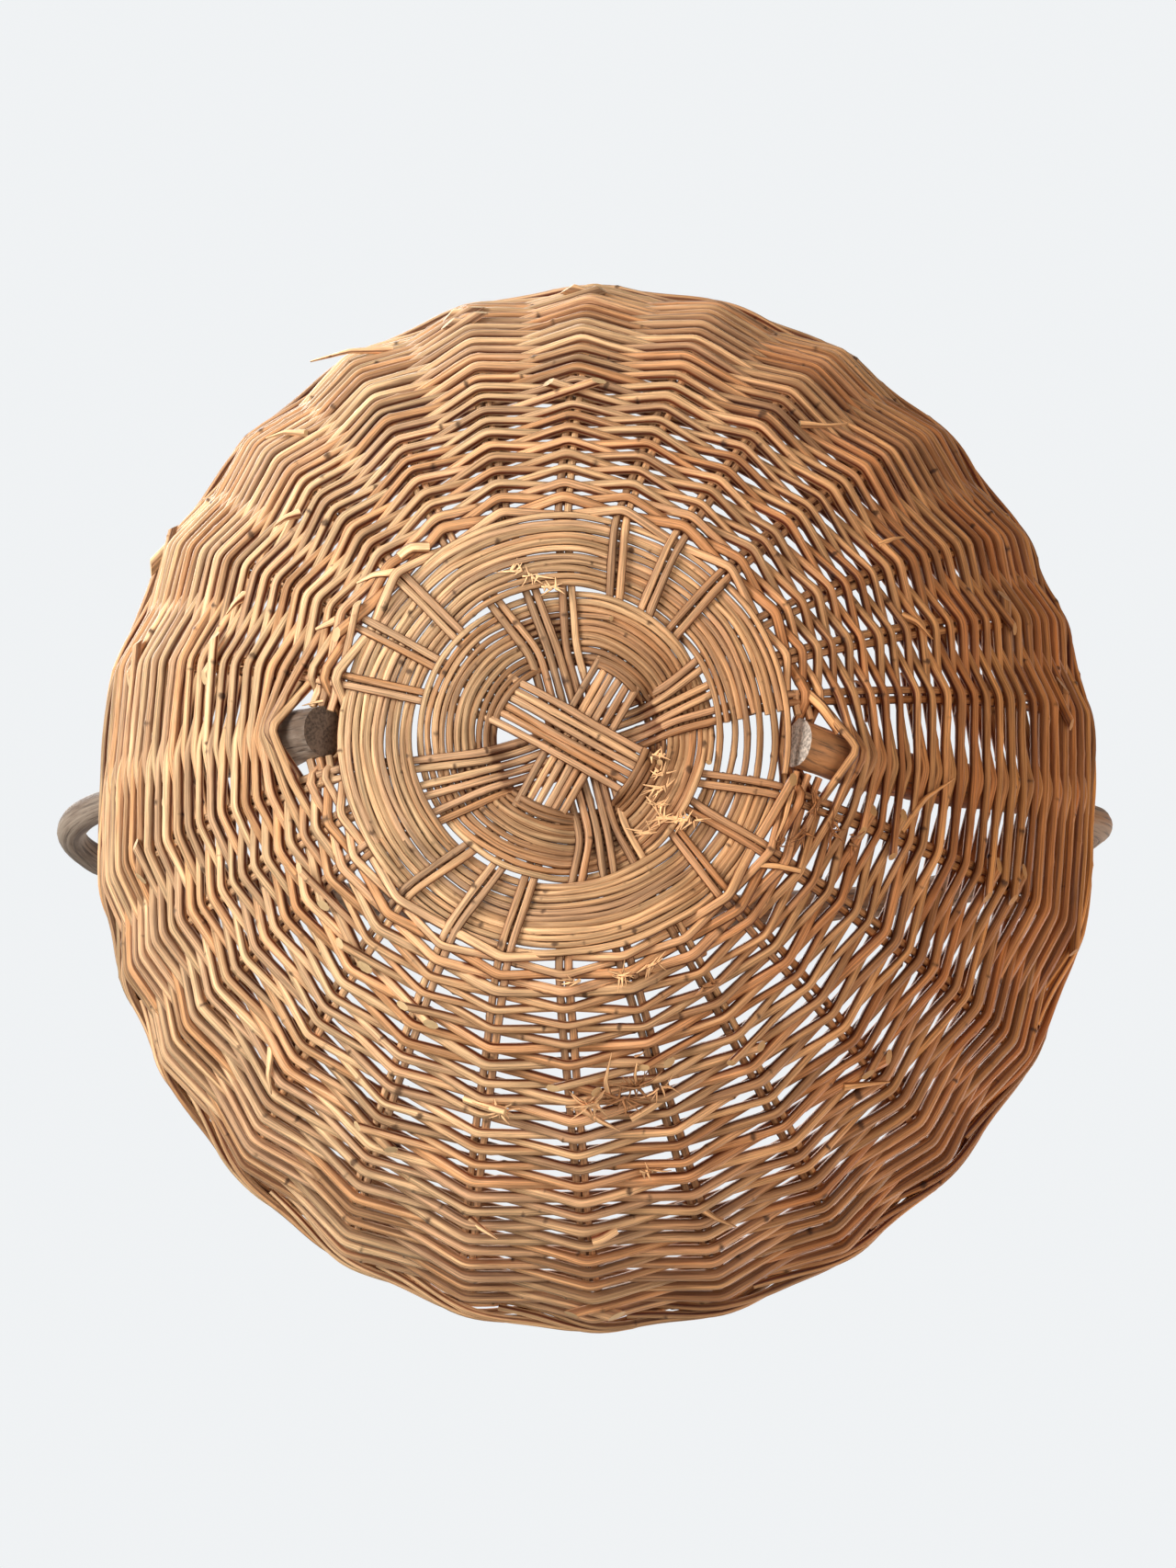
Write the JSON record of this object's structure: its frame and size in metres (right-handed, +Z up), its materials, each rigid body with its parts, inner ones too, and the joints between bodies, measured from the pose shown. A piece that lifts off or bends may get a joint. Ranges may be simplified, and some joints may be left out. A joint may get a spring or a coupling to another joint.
{
  "type": "gathering basket",
  "caption": "Round open willow basket with a domed woven base, flared openwork wall, rolled border and one fixed bentwood hoop handle over the mouth.",
  "frame": {"origin": "middle of the underside of the base, level with the surface the basket stands on", "axes": "+Z up through the mouth; the hoop handle stands over the X axis, its knee on the -X side; Y runs through under the handle"},
  "size_m": [0.5241, 0.519, 0.3872],
  "materials": {
    "stake_willow": "matt, bark on",
    "weaver_willow": "satin, golden tan",
    "base_willow": "satin, golden tan",
    "branch_bark": "rough grey-brown bark"
  },
  "bodies": {
    "root": {"stake_pair_a1": "stake_willow", "stake_pair_a2": "stake_willow", "stake_pair_a3": "stake_willow", "stake_pair_b1": "stake_willow", "stake_pair_b2": "stake_willow", "stake_pair_b3": "stake_willow", "stake_pair_c1": "stake_willow", "stake_pair_c2": "stake_willow", "stake_pair_c3": "stake_willow", "stake_pair_d1": "stake_willow", "stake_pair_d2": "stake_willow", "stake_pair_d3": "stake_willow", "base_weave_inner": "base_willow", "base_weave_outer": "base_willow", "side_weave_01": "weaver_willow", "side_weave_02": "weaver_willow", "side_weave_03": "weaver_willow", "side_weave_04": "weaver_willow", "side_weave_05": "weaver_willow", "side_weave_06": "weaver_willow", "side_weave_07": "weaver_willow", "side_weave_08": "weaver_willow", "side_weave_09": "weaver_willow", "side_weave_10": "weaver_willow", "rim_border": "weaver_willow", "hoop_handle": "branch_bark"}
  },
  "joints": []
}
